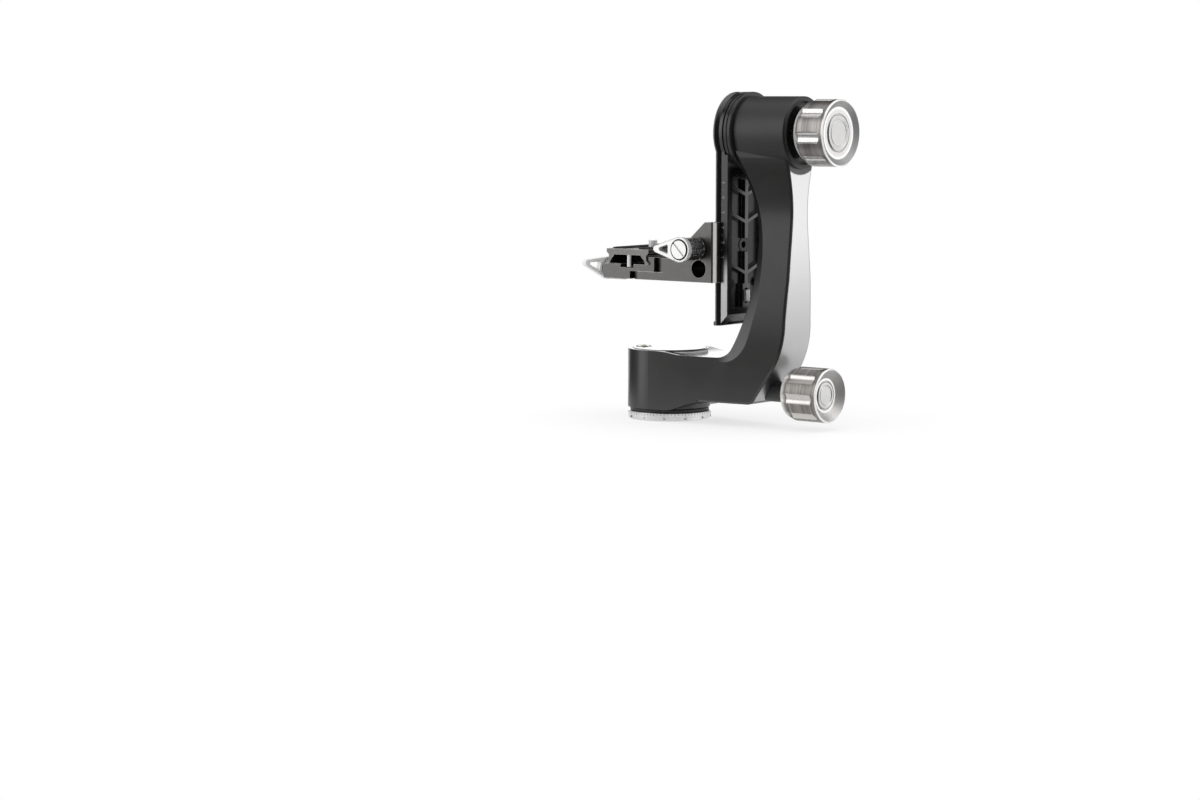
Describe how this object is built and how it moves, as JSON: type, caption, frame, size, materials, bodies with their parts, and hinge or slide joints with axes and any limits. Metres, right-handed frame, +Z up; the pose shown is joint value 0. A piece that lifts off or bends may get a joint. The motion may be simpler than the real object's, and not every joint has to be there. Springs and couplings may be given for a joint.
{
  "type": "gimbal tripod head",
  "caption": "Gimbal tripod head: L-shaped arm on a panning base, swinging plate with sliding bracket, quick-release clamp, dovetail plate and fluted lock knobs.",
  "frame": {"origin": "on the pan axis at the underside of the base, the mouth of the tripod socket", "axes": "+Z up along the pan axis; +X from the pan axis to the upright arm and its knobs; a lens on the plate looks along -Y"},
  "size_m": [0.2102, 0.1209, 0.2359],
  "materials": {
    "arm_coat": "cast aluminium with a fine charcoal powder coat",
    "barrel_coat": "aluminium, satin black",
    "satin_silver": "satin anodised",
    "ring_silver": "turned, with engraved scale",
    "knob_silver": "turned, clear anodised",
    "knob_cap_silver": "fine turned",
    "rail_grey": "grey anodised",
    "casting_black": "cast aluminium, semi-gloss black",
    "bracket_grey": "bead-blasted grey anodised",
    "clamp_grey": "bead-blasted grey anodised",
    "plate_grey": "grey anodised",
    "lever_silver": "polished",
    "knurl_black": "black anodised, knurled",
    "screw_steel": "plain",
    "screw_black": "blackened",
    "bearing_steel": "ground",
    "spindle_steel": "turned",
    "brass": "plain",
    "black_plastic": "moulded",
    "pad_rubber": "ribbed",
    "level_green": "clear green liquid",
    "seal_grey": "smooth"
  },
  "bodies": {
    "base": {"scale_ring": "ring_silver", "base_plate": "casting_black", "tripod_bush": "screw_steel", "pan_spindle": "spindle_steel", "base_screws": "screw_steel", "pan_seal": "seal_grey", "spindle_nut": "screw_steel", "lower_inner_race": "bearing_steel", "lower_balls": "bearing_steel", "upper_inner_race": "bearing_steel", "upper_balls": "bearing_steel"},
    "arm": {"arm": "arm_coat", "arm_inlay": "satin_silver", "hub_cap": "arm_coat", "level_cup": "satin_silver", "level_vial": "level_green", "pan_lock_boss": "black_plastic", "tilt_collar": "barrel_coat", "needle_cups": "bearing_steel", "needle_spacer": "spindle_steel", "needle_rollers": "bearing_steel", "barrel_end_plate": "casting_black", "lower_outer_race": "bearing_steel", "upper_outer_race": "bearing_steel"},
    "swing": {"swing_casting": "casting_black", "height_rail": "rail_grey", "rail_screws": "screw_black", "rail_stop": "rail_grey", "stop_screw": "screw_steel", "tilt_axle": "spindle_steel", "axle_screws": "screw_black"},
    "platform": {"platform_bracket": "bracket_grey", "height_guide_pins": "screw_steel", "qr_body": "clamp_grey", "qr_body_screws": "screw_steel", "qr_guide_pins": "screw_steel", "qr_rod": "screw_steel"},
    "height_clamp": {"height_jaw": "bracket_grey", "height_rod": "screw_steel"},
    "height_handle": {"height_lever": "lever_silver", "height_lever_disc": "lever_silver", "height_lever_barrel": "knurl_black"},
    "plate_clamp": {"qr_jaw": "clamp_grey"},
    "plate_handle": {"qr_lever": "lever_silver", "qr_lever_disc": "lever_silver", "qr_lever_barrel": "knurl_black"},
    "plate": {"quick_plate": "plate_grey", "plate_pins": "lever_silver", "camera_screws": "screw_steel", "grip_pads": "pad_rubber"},
    "tilt_lock": {"tilt_lock_screw": "screw_steel", "tilt_lock_pad": "black_plastic"},
    "tilt_handle": {"tilt_knob": "knob_silver", "tilt_knob_cap": "knob_cap_silver"},
    "pan_lock": {"pan_lock_rod": "screw_steel", "pan_lock_shoe": "brass"},
    "pan_handle": {"pan_knob": "knob_silver", "pan_knob_cap": "knob_cap_silver"}
  },
  "joints": [
    {"name": "pan", "type": "hinge", "parent": "base", "child": "arm", "pos_m": [0, 0, 0.03], "axis": [0, 0, 1], "continuous": true},
    {"name": "tilt", "type": "hinge", "parent": "arm", "child": "swing", "pos_m": [0.09, 0, 0.2075], "axis": [1, 0, 0], "continuous": true},
    {"name": "height", "type": "slide", "parent": "swing", "child": "platform", "axis": [0, 0, 1], "range_m": [-0.027, 0.038]},
    {"name": "height_clamp_open", "type": "slide", "parent": "platform", "child": "height_clamp", "axis": [0, 1, 0], "range_m": [0, 0.0012]},
    {"name": "height_lever_turn", "type": "hinge", "parent": "platform", "child": "height_handle", "pos_m": [0.0493, -0.045, 0.126], "axis": [0, -1, 0], "range_deg": [0, 90]},
    {"name": "plate_clamp_open", "type": "slide", "parent": "platform", "child": "plate_clamp", "axis": [-1, 0, 0], "range_m": [0, 0.0025]},
    {"name": "plate_lever_turn", "type": "hinge", "parent": "plate_clamp", "child": "plate_handle", "pos_m": [-0.05, 0, 0.1068], "axis": [-1, 0, 0], "range_deg": [0, 100]},
    {"name": "plate_slide", "type": "slide", "parent": "platform", "child": "plate", "axis": [0, 1, 0], "range_m": [-0.03, 0.024]},
    {"name": "tilt_lock_travel", "type": "slide", "parent": "arm", "child": "tilt_lock", "axis": [1, 0, 0], "range_m": [0, 0.0012]},
    {"name": "tilt_knob_turn", "type": "hinge", "parent": "tilt_lock", "child": "tilt_handle", "pos_m": [0.13, 0, 0.2075], "axis": [1, 0, 0], "range_deg": [0, 345]},
    {"name": "pan_lock_travel", "type": "slide", "parent": "arm", "child": "pan_lock", "axis": [1, 0, 0], "range_m": [0, 0.0012]},
    {"name": "pan_knob_turn", "type": "hinge", "parent": "pan_lock", "child": "pan_handle", "pos_m": [0.12, 0, 0.0249], "axis": [1, 0, 0], "range_deg": [0, 345]}
  ],
  "couplings": [
    {"joint": "height_lever_turn", "follows": "height_clamp_open", "rad_per_m": 1307.7},
    {"joint": "plate_lever_turn", "follows": "plate_clamp_open", "rad_per_m": 697.43},
    {"joint": "tilt_knob_turn", "follows": "tilt_lock_travel", "rad_per_m": 5012.8},
    {"joint": "pan_knob_turn", "follows": "pan_lock_travel", "rad_per_m": 5012.8}
  ]
}
